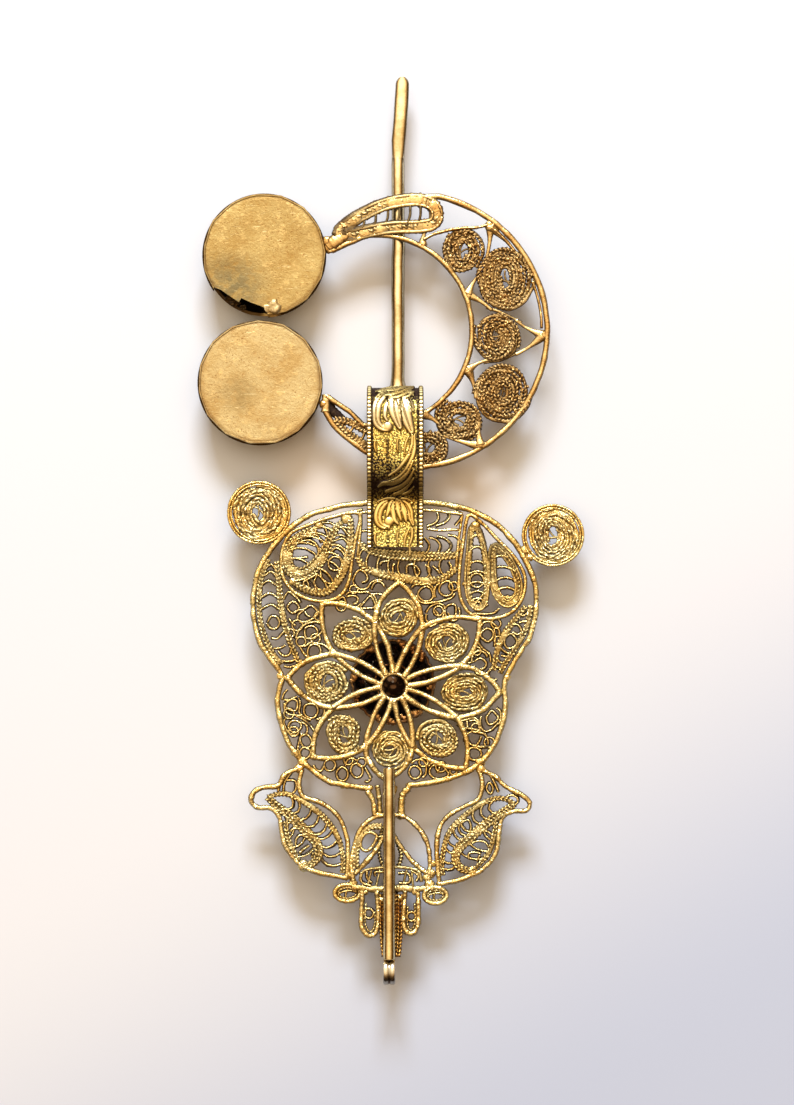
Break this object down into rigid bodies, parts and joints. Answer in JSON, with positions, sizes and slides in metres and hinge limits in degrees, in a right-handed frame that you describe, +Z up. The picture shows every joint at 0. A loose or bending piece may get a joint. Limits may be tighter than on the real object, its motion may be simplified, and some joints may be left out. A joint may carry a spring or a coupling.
{
  "type": "berber fibula brooch",
  "caption": "Gilt filigree fibula lying face down: a pin in a strap loop, a crescent ring with hollow discs, and a plaque with a rosette and birds.",
  "frame": {"origin": "centre of the box round the brooch, on the surface that it lies on", "axes": "+Y along the pin towards its point, +Z up from the surface through the brooch's back, +X to the right as seen from above"},
  "size_m": [0.0644, 0.1516, 0.0104],
  "materials": {
    "pin_metal": "worn, drawn wire",
    "gilt_bright": "embossed, polished on the high spots",
    "gilt_wire": "gilt filigree wire, dark in the crevices",
    "gilt_dark": "gilt filigree wire, tarnished",
    "gilt_sheet": "matt gilt sheet, mottled and scratched",
    "setting_gold": "orange gilt",
    "silver": "bare silver, polished by wear",
    "brown_stone": "cut, smoky brown",
    "dark_stone": "cut, almost black"
  },
  "bodies": {
    "brooch": {"pin": "pin_metal", "strap_loop": "gilt_bright", "plaque_rim": "gilt_wire", "rosette": "gilt_wire", "petal_coil_1": "gilt_wire", "petal_coil_2": "gilt_wire", "petal_coil_3": "gilt_wire", "petal_coil_4": "gilt_wire", "petal_coil_5": "gilt_wire", "petal_coil_6": "gilt_wire", "petal_coil_7": "gilt_wire", "petal_coil_8": "gilt_wire", "scroll_panel_left": "gilt_wire", "scroll_panel_right": "gilt_wire", "fan_panel": "gilt_wire", "edge_panel_left": "gilt_wire", "edge_panel_right": "gilt_wire", "corner_coil_left": "gilt_wire", "corner_coil_right": "gilt_wire", "stone_setting": "setting_gold", "centre_stone": "brown_stone", "side_stone_1": "dark_stone", "side_stone_2": "dark_stone", "side_stone_3": "dark_stone", "side_stone_4": "dark_stone", "side_stone_5": "dark_stone", "side_stone_6": "dark_stone", "side_stone_7": "dark_stone", "side_stone_8": "dark_stone", "bird_left": "gilt_wire", "bird_right": "gilt_wire", "stem_base": "gilt_wire", "tongue": "gilt_wire", "support_rod": "pin_metal", "end_eye": "silver"},
    "crescent": {"ring_frame": "gilt_dark", "ring_coil_1": "gilt_dark", "ring_coil_2": "gilt_dark", "ring_coil_3": "gilt_dark", "ring_coil_4": "gilt_dark", "ring_coil_5": "gilt_dark", "ring_coil_6": "gilt_dark", "arm_scroll_upper": "gilt_dark", "arm_scroll_lower": "gilt_dark", "disc_upper": "gilt_sheet", "disc_lower": "gilt_sheet"}
  },
  "joints": [
    {"name": "ring_turn", "type": "hinge", "parent": "brooch", "child": "crescent", "pos_m": [-0.0024, 0.0332, 0.0055], "axis": [0, 0, 1], "range_deg": [-28, 16]}
  ]
}
